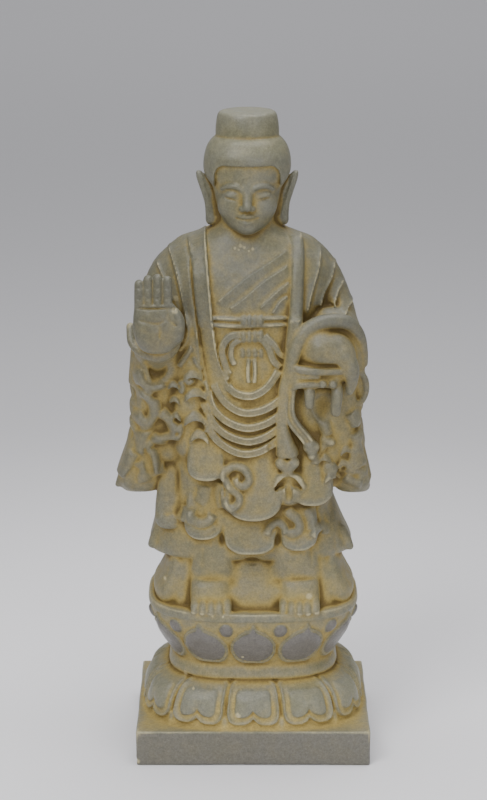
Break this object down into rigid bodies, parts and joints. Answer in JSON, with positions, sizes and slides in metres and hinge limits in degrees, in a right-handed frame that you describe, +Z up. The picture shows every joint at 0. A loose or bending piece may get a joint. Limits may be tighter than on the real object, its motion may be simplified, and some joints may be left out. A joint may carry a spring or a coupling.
{
  "type": "stone buddha statue",
  "caption": "Standing robed buddha with one hand raised, on a double lotus pedestal and a square plinth, carved as one block of grey stone; stands on its underside as a floor or garden figure.",
  "frame": {"origin": "centre of the plinth's underside", "axes": "+Z up along the figure, the figure faces -Y, +X to the viewer's right when facing its front"},
  "size_m": [0.3387, 0.27, 0.86],
  "materials": {
    "stone": "dull carved grey stone with ochre earth in its recesses and pale worn edges"
  },
  "bodies": {
    "root": {"buddha_statue": "stone"}
  },
  "joints": []
}
